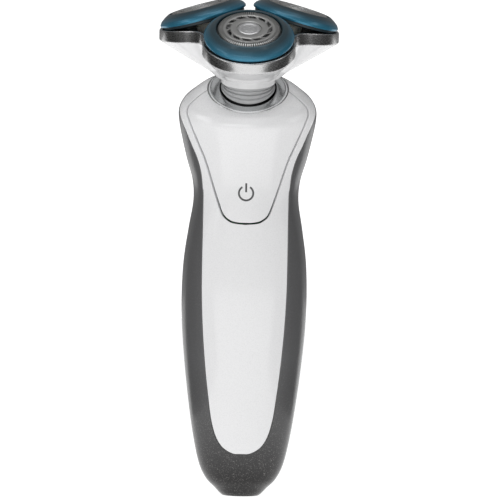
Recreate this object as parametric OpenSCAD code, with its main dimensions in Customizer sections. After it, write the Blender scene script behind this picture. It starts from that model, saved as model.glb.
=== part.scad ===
// Rotary electric shaver: a contoured handle with a drive motor and a cell, a flexing
// neck, and a pull-off head with three tilting ring-and-guard shaving units.
// Millimetres. +X is to the user's right, -Y is the front with the power panel and +Z is
// up the handle. The origin is in the middle of the handle's flat foot.

/* [Handle] */
// Wall of the moulded handle shells
wall = 1.6; // [1.4:0.1:1.7]
// Open line between the power panel and the front panel
panel_gap = 0.4; // [0.36:0.02:0.44]
// Radius of the flat foot
foot_r = 6.2; // [6.1:0.05:6.3]
// Radius of the dished collar ring around the neck
ring_r = 13.5; // [13.4:0.05:13.55]
// Thickness of the collar ring
ring_t = 1.2; // [1:0.1:1.4]

/* [Drive] */
// Radius of the motor can
motor_r = 11; // [10.8:0.1:11]
// Radius of the rechargeable cell
cell_r = 7; // [6.8:0.1:7]
// Length of the rechargeable cell
cell_l = 50; // [48:1:50]
// Tooth module of the head gears
gear_m = 0.6; // [0.6:0.1:0.6]
// Teeth on the sun gear
sun_teeth = 27; // [27:1:27]
// Teeth on each planet gear
planet_teeth = 28; // [28:1:28]
// Running clearance of a shaft in its bore
fit_gap = 0.05; // [0.04:0.01:0.08]

/* [Head] */
// Forward tilt of the head axis from the handle axis
head_tilt = 19; // [19:1:19]
// Distance of each shaving unit from the head axis
unit_r = 18; // [17.9:0.05:18.1]
// Outward tilt of each shaving unit
unit_tilt = 18; // [17.5:0.5:18.5]
// Outer radius of a comfort ring
petal_r = 15; // [14.8:0.1:15]
// Radius of a steel shaving guard
guard_r = 10.6; // [10.5:0.05:10.6]
// Radius of the neck collar under the head
collar_r = 9.15; // [9.1:0.05:9.2]
// Slots in the shaving track of each guard
guard_slots = 30; // [24:6:36]
// Blades on each cutter
blades = 12; // [9:3:15]

/* [Hidden] */
$fn = 64;
eps = 0.01;

// ---- Surface of the handle ----
// Each station is a level of the handle: height at the sides, half width, front depth,
// back depth, centre Y, rise per mm towards the back, sag of that rise, roundness.
stations = [
    [0, 6.2, 6.2, 6.2, 0, 0, 0, 2],
    [0.8, 7.2, 7.0, 7.2, 0, 0, 0, 2],
    [2.6, 8.9, 8.2, 8.8, 0, 0, 0, 2],
    [5.4, 11.7, 10.1, 10.9, 0, 0, 0, 2.05],
    [10, 14.1, 11.6, 12.8, 0, 0, 0, 2.1],
    [17, 15.9, 12.9, 14.4, 0, 0, 0, 2.1],
    [28, 17.8, 14.1, 15.8, 0, 0, 0, 2.15],
    [42, 19.6, 15.2, 17.0, 0, 0, 0, 2.15],
    [56, 20.9, 16.1, 17.8, 0, 0, 0, 2.15],
    [68, 21.3, 16.5, 18.0, 0, 0, 0, 2.15],
    [80, 20.8, 16.4, 17.6, 0, 0, 0, 2.15],
    [91, 19.3, 15.9, 16.8, 0, 0, 0, 2.15],
    [100, 17.9, 15.4, 16.1, 0, 0, 0, 2.1],
    [107, 18.3, 15.5, 16.1, 0, 0, 0, 2.1],
    [114, 20.3, 16.1, 16.8, 0, 0, 0, 2.05],
    [121, 22.0, 16.8, 17.6, -0.3, 0.02, 0, 2.05],
    [127, 23.2, 16.6, 17.8, -0.9, 0.16, 0.002, 2.05],
    [131.2, 23.3, 15.5, 17.2, -1.5, 0.316, 0.005, 2],
    [134.2, 21.7, 14.3, 16.0, -2.1, 0.469, 0.01, 2],
    [136.2, 18.8, 12.9, 14.2, -2.6, 0.612, 0.015, 2],
    [137.6, 16.0, 11.7, 12.3, -2.9, 0.744, 0.018, 2],
    [138.2, 13.85, 10.65, 10.65, -3.0, 0.839, 0.0209, 2]];
top_level = len(stations) - 1;

// Half widths of the front panel and of the power panel, as [height, half width].
panel_edge = [
    [14.6, 1.6], [14.9, 3.0], [15.6, 4.7], [17, 6.6], [19.2, 8.2], [22, 9.4], [25, 10.2],
    [28, 10.8], [33, 11.5], [42, 12.6], [53, 13.6], [63, 14.2], [74, 14.5], [100, 14.5],
    [104, 14.8], [109, 15.4], [114, 16.8], [119, 19.0], [124, 20.9], [128, 22.4]];
power_edge = [
    [92.4, 1.2], [92.7, 3.2], [93.5, 5.4], [95.5, 7.4], [99, 9.0], [104, 10.7],
    [109, 12.3], [114, 14.0], [119, 16.2], [124, 18.1], [128, 19.3], [131, 20.2]];
panel_tip = 14.6;
power_tip = 92.4;
// Angles round the ring, from the front, at which the two panels end at the ring.
panel_top_angle = 125;
power_top_angle = 84;

function catmull(p0, p1, p2, p3, f) =
    0.5 * (2 * p1 + (p2 - p0) * f + (2 * p0 - 5 * p1 + 4 * p2 - p3) * f * f
    + (-p0 + 3 * p1 - 3 * p2 + p3) * f * f * f);
function level(t) =
    let (i = max(0, min(floor(t), top_level - 1)), f = t - i)
    catmull(stations[max(i - 1, 0)], stations[i], stations[i + 1],
            stations[min(i + 2, top_level)], f);
function power(v, e) = v == 0 ? 0 : sign(v) * pow(abs(v), e);
function skin(t, a) =
    let (s = level(t), e = 2 / s[7], c = power(cos(a), e),
         dy = c > 0 ? -s[2] * c : -s[3] * c)
    [s[1] * power(sin(a), e), s[4] + dy, s[0] + s[5] * dy - s[6] * pow(max(0, dy), 2)];
function unit_vector(v) = v / norm(v);
// Outward normal of the handle's surface.
function skin_normal(t, a) =
    let (h = 0.02, u = min(t, top_level - 2 * h), w = max(u, 2 * h))
    unit_vector(cross(skin(w, a + 1) - skin(w, a - 1), skin(w + h, a) - skin(w - h, a)));
function skin_in(t, a, depth) = skin(t, a) - depth * skin_normal(t, a);

// Level at a side height z, by bisection.
function level_at(z, lo = 0, hi = 21, n = 16) =
    n == 0 ? (lo + hi) / 2
    : let (m = (lo + hi) / 2) level(m)[0] < z ? level_at(z, m, hi, n - 1)
                                              : level_at(z, lo, m, n - 1);
// Angle from the front of a half width x at a level.
function angle_of(t, x) =
    let (s = level(t)) asin(min(1, pow(min(1, max(0, x / s[1])), s[7] / 2)));
// Edge angle: from the half width up to the last row of its list, then on to the ring.
function edge_angle(t, edge, tip, top_angle) =
    let (z = level(t)[0], last = len(edge) - 1, z_last = edge[last][0],
         a_last = angle_of(level_at(z_last), edge[last][1]), t_last = level_at(z_last))
    z < tip ? 0
    : z <= z_last ? angle_of(t, lookup(z, edge))
    : a_last + (top_angle - a_last) * (t - t_last) / (top_level - t_last);
function panel_angle(t) = edge_angle(t, panel_edge, panel_tip, panel_top_angle);
function power_angle(t) = edge_angle(t, power_edge, power_tip, power_top_angle);
// Angle that a distance along the surface spans at a level.
function arc_angle(t, a, dist) = dist / norm(skin(t, a + 0.5) - skin(t, a - 0.5));

// A moulded shell over a range of levels. Each row is [level, from angle, to angle] on
// the right side, and the left side mirrors it. A row that starts at 0 or ends at 180
// joins its mirror there.
function row_points(r, n, depth, side) =
    [for (j = [0:n]) let (p = skin_in(r[0], r[1] + (r[2] - r[1]) * j / n, depth))
        [side * (((r[1] == 0 && j == 0) || (r[2] == 180 && j == n)) ? 0 : p[0]), p[1], p[2]]];
module shell(rows, n, depth0, depth1) {
    m = len(rows);
    w = n + 1;
    pts = [for (side = [1, -1], d = [depth0, depth1], r = rows)
        each row_points(r, n, d, side)];
    block = m * w;
    function quad(a, b, c, d, flip) = flip ? [[a, c, b], [a, d, c]] : [[a, b, c], [a, c, d]];
    faces = [for (s = [0, 1]) let (o = s * 2 * block, q = o + block, f = s == 1) each concat(
        [for (i = [0:m - 2], j = [0:n - 1])
            each quad(o + i * w + j, o + i * w + w + j, o + i * w + w + j + 1,
                      o + i * w + j + 1, f)],
        [for (i = [0:m - 2], j = [0:n - 1])
            each quad(q + i * w + j, q + i * w + j + 1, q + i * w + w + j + 1,
                      q + i * w + w + j, f)],
        [for (j = [0:n - 1]) each quad(o + j, o + j + 1, q + j + 1, q + j, f)],
        [for (j = [0:n - 1]) let (k = (m - 1) * w + j)
            each quad(o + k, q + k, q + k + 1, o + k + 1, f)],
        [for (i = [0:m - 2]) if (rows[i][1] > 0 || rows[i + 1][1] > 0)
            each quad(o + i * w, q + i * w, q + i * w + w, o + i * w + w, f)],
        [for (i = [0:m - 2]) if (rows[i][2] < 180)
            each quad(o + i * w + n, o + i * w + w + n, q + i * w + w + n,
                      q + i * w + n, f)])];
    polyhedron(points = pts, faces = faces, convexity = 6);
}
// Levels from a tip height upwards, packed close together at the rounded tip.
function levels_from(tip, n) =
    [for (i = [0:n]) let (t0 = level_at(tip), f = i / n)
        t0 + (top_level - t0) * (0.35 * f * f + 0.65 * pow(f, 1.6))];

module rear_housing() color("dimgray") {
    low = [for (i = [0:8]) level_at(panel_tip - 0.15) * i / 8];
    high = levels_from(panel_tip, 26);
    rows = concat(
        [for (t = low) [t, 0, 180]],
        [for (t = high) let (a = panel_angle(t)) [t, a, 180]]);
    shell(rows, 16, 0, wall);
}
module front_panel() color("whitesmoke") {
    full = [for (z = [14.65, 14.9, 15.3, 16, 17.2, 19, 22, 28, 35, 45, 55, 65, 75, 84, 91])
        level_at(z)];
    slit = levels_from(power_tip - panel_gap, 17);
    seam = 0.08;
    rows = concat(
        [for (t = full) [t, 0, panel_angle(t) - arc_angle(t, 40, seam)]],
        [for (t = slit) let (p = power_angle(t))
            [t, p == 0 ? 0 : p + arc_angle(t, p, panel_gap),
             panel_angle(t) - arc_angle(t, 60, seam)]]);
    shell(rows, 10, 0, wall);
}
module power_panel() color("gainsboro") {
    shell([for (t = levels_from(power_tip + 0.02, 18)) [t, 0, power_angle(t)]],
          10, 0, wall - 0.2);
}
// The symbol's button zone presses the switch through this stud.
symbol_z = 102.3;
module panel_plunger() color("white")
    translate([0, -13.9, symbol_z]) rotate([-90, 0, 0]) {
        cylinder(r = 2.2, h = 0.5);
        cylinder(r = 1.1, h = 1.4);
    }

// ---- Foot with the charging socket ----
socket_w = 8.4;
socket_d = 5.6;
socket_h = 9;
module socket_outline(grow = 0)
    union() {
        square([socket_w - socket_d + eps, socket_d + 2 * grow], center = true);
        for (s = [-1, 1]) translate([s * (socket_w - socket_d) / 2, 0])
            circle(r = socket_d / 2 + grow);
    }
module foot_plate() color("dimgray") difference() {
    cylinder(r1 = foot_r - 0.1, r2 = foot_r - 1.3, h = 1.1);
    translate([0, 0, -1]) linear_extrude(3) socket_outline(0.6);
}
module charging_socket() color("black") {
    difference() {
        linear_extrude(socket_h + 1.4) socket_outline(0.55);
        translate([0, 0, -1]) linear_extrude(socket_h + 1) socket_outline();
        for (s = [-1, 1]) translate([s * 1.7, 0, socket_h - 1]) cylinder(r = 0.8, h = 4);
    }
}
module charging_pins() color("gold")
    for (s = [-1, 1]) translate([s * 1.7, 0, 4]) cylinder(r = 0.8, h = socket_h + 1.4);

// ---- Collar ring, bellows and neck, in the handle's and the head's frames ----
head_y = -3;
head_z = 140.2;
module in_head() translate([0, head_y, head_z]) rotate([head_tilt, 0, 0]) children();

ring_tilt_rise = 0.839;
ring_sag = 0.0209;
ring_mid = [0, -3, 138.2];
ring_hole_y = -1.8;
function ring_z(y) = let (d = y - ring_mid[1])
    ring_mid[2] + ring_tilt_rise * d - ring_sag * pow(max(0, d), 2);
// A closed loop of points swept through a list of loops, as one solid ring.
module loops_solid(loops) {
    m = len(loops);
    n = len(loops[0]);
    pts = [for (l = loops) each l];
    faces = [for (i = [0:m - 1], j = [0:n - 1])
        let (a = i * n + j, b = i * n + (j + 1) % n, k = (i + 1) % m,
             c = k * n + (j + 1) % n, d = k * n + j)
        each [[a, b, c], [a, c, d]]];
    polyhedron(points = pts, faces = faces, convexity = 6);
}
ring_n = 56;
function ring_outer(dz, r) = [for (j = [0:ring_n - 1]) let (a = 360 * j / ring_n,
    y = ring_mid[1] - (r - 3.2) * cos(a)) [r * sin(a), y, ring_z(y) + dz]];
function ring_inner(dz, r) = [for (j = [0:ring_n - 1]) let (a = 360 * j / ring_n,
    y = ring_hole_y - (r - 1.05) * cos(a)) [r * sin(a), y, ring_z(y) - 0.35 + dz]];
module collar_ring() color("silver")
    loops_solid([ring_outer(0.1, ring_r - 0.3), ring_outer(-0.3, ring_r),
        ring_outer(-ring_t, ring_r - 1.1), ring_inner(-ring_t, 9.65), ring_inner(0, 9.65)]);

// Bellows: three tiers that fan out towards the front, in the head's frame.
function fan(y) = y > 0.8 ? 0 : pow((0.8 - y) / 9.9, 1.15);
function tier(r, f, lift = 0) = [for (j = [0:ring_n - 1]) let (a = -360 * j / ring_n,
    y = -r * cos(a)) [r * sin(a), y, lift - 1.1 - 0.2 * f - 3.9 * f * fan(y)]];
module neck_bellows() color("darkgray") in_head()
    loops_solid([tier(8.0, 0, 1.7), tier(8.05, 0.34), tier(8.7, 0.34), tier(8.75, 0.7),
        tier(9.2, 0.7), tier(9.24, 1), tier(7.5, 1), tier(7.5, 0, 1.7)]);

pivot_z = 3;
pin_r = 0.6;
module neck_seat() color("dimgray") in_head() difference() {
    union() {
        translate([0, 0, -9.5]) cylinder(r = 7.35, h = 9);
        for (s = [-1, 1]) translate([s * 6.875, 0, 0]) {
            translate([-0.325, -1.6, -1]) cube([0.65, 3.2, 4]);
            translate([-0.325, 0, pivot_z]) rotate([0, 90, 0]) cylinder(r = 0.9, h = 0.65);
            translate([s > 0 ? -1.35 : 0.3, 0, pivot_z]) rotate([0, 90, 0])
                cylinder(r = pin_r, h = 1.05);
        }
    }
    translate([0, 0, -11]) cylinder(r = 3.6, h = 6);
    translate([0, 0, -6]) cylinder(r = 2.65, h = 8);
    for (s = [-1, 1]) translate([s * 5, 3, -11]) cylinder(r = 0.8, h = 6);
}
module spindle_bearing() color("gold") in_head() difference() {
    translate([0, 0, -5]) cylinder(r = 2.65, h = 3);
    translate([0, 0, -6]) cylinder(r = 1.2 + fit_gap, h = 6);
}
module shaft_seal() color("black") in_head() difference() {
    translate([0, 0, -1.8]) cylinder(r = 2.65, h = 1.1);
    translate([0, 0, -2]) cylinder(r = 1.2 + fit_gap, h = 2);
}
module gimbal_ring() color("silver") in_head() difference() {
    translate([0, 0, pivot_z - 1]) cylinder(r = 6.4, h = 2);
    translate([0, 0, pivot_z - 2]) cylinder(r = 5.3, h = 4);
    for (a = [0, 90]) translate([0, 0, pivot_z]) rotate([0, 90, a])
        cylinder(r = pin_r + fit_gap, h = 20, center = true);
}
core_bore = 2.6;
module coupling_core() color("slategray") in_head() difference() {
    union() {
        translate([0, 0, 1.6]) cylinder(r = 5, h = 2.8);
        translate([0, 0, 4.4 - eps]) cylinder(r = 4.9, h = 3.2 + eps);
        for (s = [-1, 1]) translate([0, s > 0 ? 4.6 : -6.1, pivot_z]) rotate([-90, 0, 0])
            cylinder(r = pin_r, h = 1.5);
    }
    translate([0, 0, 0]) cylinder(r = core_bore, h = 10);
    // Snap groove that the head's boss clicks into
    translate([0, 0, 6.2]) difference() {
        cylinder(r = 6, h = 0.6);
        translate([0, 0, -1]) cylinder(r = 4.6, h = 3);
    }
}

// ---- Drive inside the handle ----
motor_z0 = 107;
motor_z1 = 128;
module motor_can() color("lightgray") difference() {
    translate([0, 0, motor_z0]) cylinder(r = motor_r, h = motor_z1 - motor_z0);
    translate([0, 0, motor_z0 + 0.8]) cylinder(r = motor_r - 1.6, h = 19.4);
    translate([0, 0, motor_z0 - 1]) cylinder(r = 1 + fit_gap, h = 30);
}
module motor_rotor() color("darkgoldenrod") {
    translate([0, 0, motor_z0 - 1.5]) cylinder(r = 1, h = 26);
    translate([0, 0, motor_z0 + 3]) difference() {
        cylinder(r = 8.6, h = 13);
        for (i = [0:2]) rotate([0, 0, 120 * i]) translate([5, -0.7, -1]) cube([6, 1.4, 16]);
    }
    translate([0, 0, motor_z0 + 17]) cylinder(r = 3, h = 1.5);
    translate([0, 0, 131.49]) sphere(r = 1.25);
}
module motor_seat() color("black") difference() {
    translate([0, 0, motor_z0 - 1.6]) cylinder(r = motor_r - 1, h = 1.6);
    translate([0, 0, motor_z0 - 3]) cylinder(r = 4.5, h = 6);
}
module drive_spindle() color("silver") in_head() {
    translate([0, 0, -7.4]) cylinder(r = 1.2, h = 10.6);
    translate([0, 0, 3]) cylinder(r = 1.3, h = 2.2, $fn = 6);
    difference() {
        translate([0, 0, -10.1]) cylinder(r = 2.7, h = 3);
        translate([0, 0, -11]) cylinder(r = 1.75, h = 3.1);
    }
}
cell_z0 = 30;
cell_y = 3;
module battery() color("forestgreen") translate([0, cell_y, cell_z0]) {
    cylinder(r = cell_r, h = cell_l);
    translate([0, 0, cell_l - eps]) cylinder(r = 2.6, h = 0.9);
}
module battery_contacts() color("gold") {
    for (z = [cell_z0 - 0.5, cell_z0 + cell_l + 0.9])
        translate([-3, cell_y - 4, z]) cube([6, 8, 0.4]);
}
board_y = -10.9;
board_z0 = 32;
screw_x = 6.5;
screw_z = 42;
module circuit_board() color("darkgreen") difference() {
    translate([-9, board_y, board_z0]) cube([18, 0.8, 73]);
    for (s = [-1, 1]) translate([s * screw_x, board_y - 1, screw_z]) rotate([-90, 0, 0])
        cylinder(r = 1.05, h = 4);
}
module push_switch() color("dimgray") translate([0, board_y, symbol_z]) rotate([90, 0, 0]) {
    translate([-3, -3, 0]) cube([6, 6, 1]);
    cylinder(r = 1.6, h = 1.15);
}
module light_guide() color("white") translate([0, board_y, symbol_z]) rotate([90, 0, 0])
    difference() {
        cylinder(r = 4.7, h = 1.8);
        translate([0, 0, -1]) cylinder(r = 4.3, h = 4);
    }
module inner_frame() color("gray") difference() {
    union() {
        translate([-8, 10.2, 24]) cube([16, 1.4, 102]);
        translate([0, cell_y, cell_z0 + 4]) cylinder(r = cell_r + 1.2, h = cell_l - 8);
        for (s = [-1, 1]) translate([s * 8.6 - 0.8, -9.2, board_z0])
            cube([1.6, 17.2, 72]);
        for (z = [board_z0, cell_z0 + cell_l + 2, 92])
            translate([-9.4, -9.2, z]) cube([18.8, 20.7, 1.6]);
        for (s = [-1, 1]) translate([s * screw_x, board_y + 0.8, screw_z]) rotate([-90, 0, 0])
            cylinder(r = 2, h = 6);
        translate([0, 0, motor_z0 + 2]) cylinder(r = motor_r + 1.2, h = 15);
        translate([-8, 4, motor_z0 - 3]) cube([16, 7, 1.4]);
    }
    translate([0, cell_y, cell_z0 - 0.1]) cylinder(r = cell_r + 0.05, h = cell_l + 1);
    translate([-cell_r, -9, cell_z0 + 3]) cube([2 * cell_r, 8, cell_l - 5]);
    translate([0, 0, motor_z0 - 1]) cylinder(r = motor_r + 0.05, h = 30);
    translate([-5, -14, motor_z0 + 4]) cube([10, 8, 11]);
    for (s = [-1, 1]) translate([s * screw_x, board_y, screw_z]) rotate([-90, 0, 0])
        cylinder(r = 0.8, h = 5);
    translate([0, 0, board_z0 - 1]) cylinder(r = 5, h = 3);
    for (z = [cell_z0 + cell_l + 1, 91]) translate([0, 0, z]) cylinder(r = 4, h = 4);
}
module frame_screws() color("silver") {
    for (s = [-1, 1]) translate([s * screw_x, board_y, screw_z]) rotate([-90, 0, 0]) {
        translate([0, 0, -0.8]) cylinder(r = 1.4, h = 0.8);
        cylinder(r = 0.8, h = 5);
    }
    in_head() for (s = [-1, 1]) translate([s * 5, 3, -10.9]) {
        cylinder(r = 0.8, h = 5.9);
        cylinder(r = 1.4, h = 1.4);
    }
}

// ---- Seal along the seam between the front panel and the rear housing ----
seal_n = 30;
seal_depth = 2.25;
function seal_point(u) =
    let (t0 = level_at(panel_tip + 0.3), s = abs(u),
         t = t0 + (level_at(127) - t0) * pow(s, 1.7), p = skin_in(t, panel_angle(t), seal_depth))
    [sign(u) * p[0] * (s < 0.001 ? 0 : 1), p[1], p[2]];
seal_path = [for (i = [-seal_n:seal_n]) seal_point(i / seal_n)];
module sweep(path, r, n) {
    m = len(path);
    pts = [for (i = [0:m - 1])
        let (d = unit_vector(path[min(i + 1, m - 1)] - path[max(i - 1, 0)]),
             side = unit_vector(cross(d, [0.05, 1, 0.02])), up = cross(side, d))
        for (j = [0:n - 1]) path[i] + r * (cos(360 * j / n) * side + sin(360 * j / n) * up)];
    faces = concat(
        [for (i = [0:m - 2], j = [0:n - 1])
            let (a = i * n + j, b = i * n + (j + 1) % n)
            each [[a, a + n, b + n], [a, b + n, b]]],
        [[for (j = [0:n - 1]) j]],
        [[for (j = [n - 1:-1:0]) (m - 1) * n + j]]);
    polyhedron(points = pts, faces = faces, convexity = 6);
}
module housing_seal() color("black") sweep(seal_path, 0.6, 6);

// ---- Head: collar, bowl, rim and gears, in the head's frame ----
lobe_r = 15.6;
lobe_d = 17.3;
valley_r = 8;
function wave(a) = (1 - cos(3 * a)) / 2;
// Trefoil outline about the head axis: three lobes with filleted valleys.
function trefoil(a) =
    let (b = abs(((a + 420) % 120) - 60), half = lobe_d * sin(60),
         mid = lobe_d * cos(60) + sqrt(pow(lobe_r + valley_r, 2) - half * half),
         touch_x = lobe_d + (mid * cos(60) - lobe_d) * lobe_r / (lobe_r + valley_r),
         touch_y = mid * sin(60) * lobe_r / (lobe_r + valley_r),
         limit = atan2(touch_y, touch_x), c = 60 - b)
    b <= limit ? lobe_d * cos(b) + sqrt(pow(lobe_r, 2) - pow(lobe_d * sin(b), 2))
               : mid * cos(c) - sqrt(pow(valley_r, 2) - pow(mid * sin(c), 2));
head_n = 90;
function head_loop(grow, low, rise) = [for (j = [0:head_n - 1])
    let (a = 360 * j / head_n, r = trefoil(a) + grow)
    [r * sin(a), -r * cos(a), low + rise * wave(a)]];
function bowl_loop(f, inset) = [for (j = [0:head_n - 1])
    let (a = 360 * j / head_n, r1 = trefoil(a) - 0.3, z1 = 11.6 + 3.7 * wave(a),
         slope = atan2(z1 - 2.9, r1 - 11.5), r = 11.5 + (r1 - 11.5) * f,
         z = 2.9 + (z1 - 2.9) * f, k = f == 1 ? inset / sin(slope) : inset * sin(slope))
    [(r - k) * sin(a), -(r - k) * cos(a), z + (f == 1 ? 0 : inset * cos(slope))]];
module head_bowl() color("white") in_head()
    loops_solid([bowl_loop(0, 0), bowl_loop(0.35, 0), bowl_loop(0.7, 0), bowl_loop(1, 0),
        bowl_loop(1, 1.2), bowl_loop(0.7, 1.2), bowl_loop(0.35, 1.2), bowl_loop(0.03, 1.2),
        bowl_loop(0, 0.4)]);
module rim_band() color("silver") in_head()
    loops_solid([head_loop(-1.2, 11.65, 3.7), head_loop(-0.2, 11.65, 3.7),
        head_loop(0, 12.2, 3.8), head_loop(0, 14.8, 4.1), head_loop(-0.3, 15.3, 4.2),
        head_loop(-1.2, 15.3, 4.2)]);
module head_collar() color("white") in_head() difference() {
    union() {
        cylinder(r = collar_r, h = 3.2);
        translate([0, 0, 3.0]) cylinder(r = 10.5, h = 0.8);
    }
    translate([0, 0, -1]) cylinder(r = 8.6, h = 8);
}
gear_z = 10.2;
gear_h = 2;
pitch_r = gear_m * (sun_teeth + planet_teeth) / 2;
module gear_plate() color("dimgray") in_head() {
    translate([0, 0, 8.4]) linear_extrude(1.2) difference() {
        union() {
            circle(r = 12.4);
            for (k = [0:2]) rotate([0, 0, 120 * k]) {
                translate([-2.1, -pitch_r]) square([4.2, pitch_r - 8]);
                translate([0, -pitch_r]) circle(r = 2.5);
            }
        }
        circle(r = 2.4 + fit_gap);
    }
    // Boss that snaps over the neck coupling
    difference() {
        translate([0, 0, 4.8]) cylinder(r = 6.6, h = 3.61);
        translate([0, 0, 4]) cylinder(r = 4.9 + fit_gap, h = 3.9);
        translate([0, 0, 6]) cylinder(r = 2.4 + fit_gap, h = 6);
    }
    for (k = [0:2]) rotate([0, 0, 120 * k])
        translate([0, -pitch_r, 9.5]) cylinder(r = 1.5, h = 2.5);
}
// A spur gear from one involute tooth, with clearance at the flanks and the root.
backlash = 0.14;
function inv(a) = tan(a) * 180 / PI - a;
function flank_angle(r, rb) = r <= rb ? 0 : inv(acos(rb / r));
module gear_outline(teeth) {
    rp = gear_m * teeth / 2;
    rb = rp * cos(20);
    ro = rp + 0.9 * gear_m;
    rr = rp - 1.2 * gear_m;
    half = 90 / teeth - backlash / 4 / rp * 180 / PI + flank_angle(rp, rb);
    steps = [max(rb, rr), (rb + rp) / 2, rp, (rp + ro) / 2, ro];
    polygon([for (i = [0:teeth - 1]) let (c = 360 * i / teeth) each concat(
        [[rr * cos(c - 180 / teeth), rr * sin(c - 180 / teeth)]],
        [[rr * cos(c - half), rr * sin(c - half)]],
        [for (r = steps) let (a = c - half + flank_angle(r, rb)) [r * cos(a), r * sin(a)]],
        [for (k = [4:-1:0]) let (r = steps[k], a = c + half - flank_angle(r, rb))
            [r * cos(a), r * sin(a)]],
        [[rr * cos(c + half), rr * sin(c + half)]])]);
}
module sun_gear() color("white") in_head() difference() {
    union() {
        // A gap faces each planet, so the teeth mesh at rest.
        translate([0, 0, gear_z]) rotate([0, 0, -90 + 180 / sun_teeth])
            linear_extrude(gear_h) gear_outline(sun_teeth);
        translate([0, 0, 2.4]) cylinder(r = 2.4, h = 8);
    }
    translate([0, 0, 1]) cylinder(r = 1.9, h = 5);
}
module planet_gear() color("white") translate([0, -pitch_r, 0]) difference() {
    union() {
        translate([0, 0, gear_z]) rotate([0, 0, 90])
            linear_extrude(gear_h) gear_outline(planet_teeth);
        translate([0, 0, gear_z]) cylinder(r = 2.6, h = 2.9);
    }
    translate([0, 0, gear_z - 1]) cylinder(r = 1.5 + fit_gap, h = 2.85);
}
pin_head_z = 15.7;
module drive_pin() color("silver") translate([0, -pitch_r, 0]) {
    translate([0, 0, gear_z + 2.9]) cylinder(r = 0.9, h = 0.4);
    translate([0, 0, gear_z + 3.2]) cylinder(r = 0.6, h = pin_head_z - gear_z - 3.2);
    translate([0, 0, pin_head_z - 0.4]) cylinder(r = 1.5, h = 0.8, $fn = 3);
}
hinge_r = 29.8;
hinge_z = 14.6;
module head_holder() color("darkslategray") in_head() difference() {
    union() {
        translate([0, 0, 13.2]) cylinder(r = 11.5, h = 1);
        for (k = [0:2]) rotate([0, 0, 120 * k]) {
            translate([0, -lobe_d, 13.2]) cylinder(r = 12.8, h = 1);
            for (s = [-1, 1]) {
                translate([s * 3.5 - 0.8, -hinge_r, hinge_z]) rotate([0, 90, 0])
                    cylinder(r = 1.05, h = 1.6);
                translate([s * 3.5 - 0.8, -hinge_r - 0.2, 13.2]) cube([1.6, 1.25, 1.4]);
            }
        }
    }
    for (k = [0:2]) rotate([0, 0, 120 * k]) {
        translate([0, -16.3, 12]) cylinder(r = 4.5, h = 4);
        translate([0, -hinge_r, hinge_z]) rotate([0, 90, 0])
            cylinder(r = pin_r + fit_gap, h = 20, center = true);
        // Notch round the barrel of the frame
        translate([-2.65, -hinge_r - 2, 13]) cube([5.3, 3.3, 2]);
        // Hair windows on each side of the drive pin
        for (s = [-1, 1]) translate([s * 7.6, -18.5, 12]) cylinder(r = 2.6, h = 4);
    }
}
module spring_wire(turns, r, h, wire) {
    n = round(turns * 12);
    sweep_up([for (i = [0:n]) let (a = 360 * turns * i / n)
        [r * cos(a), r * sin(a), h * i / n]], wire, 6);
}
// Sweep for a helix, whose cross-section is set from the radius.
module sweep_up(path, r, n) {
    m = len(path);
    pts = [for (i = [0:m - 1])
        let (d = unit_vector(path[min(i + 1, m - 1)] - path[max(i - 1, 0)]),
             side = unit_vector([path[i][0], path[i][1], 0]), up = cross(d, side))
        for (j = [0:n - 1]) path[i] + r * (cos(360 * j / n) * side + sin(360 * j / n) * up)];
    faces = concat(
        [for (i = [0:m - 2], j = [0:n - 1])
            let (a = i * n + j, b = i * n + (j + 1) % n)
            each [[a, b + n, a + n], [a, b, b + n]]],
        [[for (j = [n - 1:-1:0]) j]],
        [[for (j = [0:n - 1]) (m - 1) * n + j]]);
    polyhedron(points = pts, faces = faces, convexity = 6);
}
module petal_spring() color("silver")
    translate([0, -8.4, 14.45]) spring_wire(5, 1, 6.6, 0.2);

// ---- Shaving unit, in its own tilted frame: -Y points outwards ----
unit_z = 20.3;
module in_unit() translate([0, -unit_r, unit_z]) rotate([unit_tilt, 0, 0]) children();
hinge_u = 12.98;
hinge_w = -1.77;
module petal_frame() color("darkslategray") in_unit() {
    difference() {
        rotate_extrude() polygon([[10.7, 2.2], [10.7, -0.95], [9.2, -0.95], [9.2, -1.45],
            [11.4, -1.45], [14.1, -0.9], [14.1, -0.1], [11.35, -0.1], [11.35, 2.2]]);
        // Room for the hinge lugs
        for (s = [-1, 1]) translate([s * 3.5 - 1.1, -15, -2]) cube([2.2, 3.45, 1.6]);
    }
    translate([-2.5, -hinge_u, hinge_w]) rotate([0, 90, 0]) cylinder(r = 0.9, h = 5);
    translate([-4.2, -hinge_u, hinge_w]) rotate([0, 90, 0]) cylinder(r = pin_r, h = 8.4);
    translate([-2.5, -hinge_u - 0.9, hinge_w]) cube([5, 1.8, 1.2]);
    // Foot over the return spring
    translate([0, 10.4, -1.75]) cylinder(r = 1.8, h = 0.9);
}
module comfort_ring() color("cadetblue") in_unit() rotate_extrude() polygon([
    [13.9, 0], [14.85, 0], [petal_r, 0.2], [petal_r - 0.05, 0.9], [14.6, 1.5], [13.8, 2.2],
    [12.9, 2.8], [11.9, 3.35], [11.4, 3.55], [11.1, 3.65], [10.95, 3.5], [10.95, 2.6],
    [11.6, 2.3], [13.7, 0.6]]);
module shaving_guard() color("silver") in_unit() difference() {
    rotate_extrude() polygon([[10.3, -0.95], [guard_r, -0.95], [guard_r, 3.05],
        [10.25, 3.55], [9.9, 3.75], [7.75, 3.75], [7.75, 3.0], [6.5, 3.0], [6.5, 3.75],
        [4.0, 3.75], [4.0, 3.3], [1.2, 3.3], [1.2, 3.0], [4.25, 3.0], [4.3, 3.4],
        [6.2, 3.4], [6.2, 2.65], [8.05, 2.65], [8.05, 3.4], [9.8, 3.4], [10.3, 2.9]]);
    for (i = [0:guard_slots - 1]) rotate([0, 0, 360 * i / guard_slots])
        translate([8.5, -0.18, 2.7]) cube([3, 0.36, 2]);
}
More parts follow.
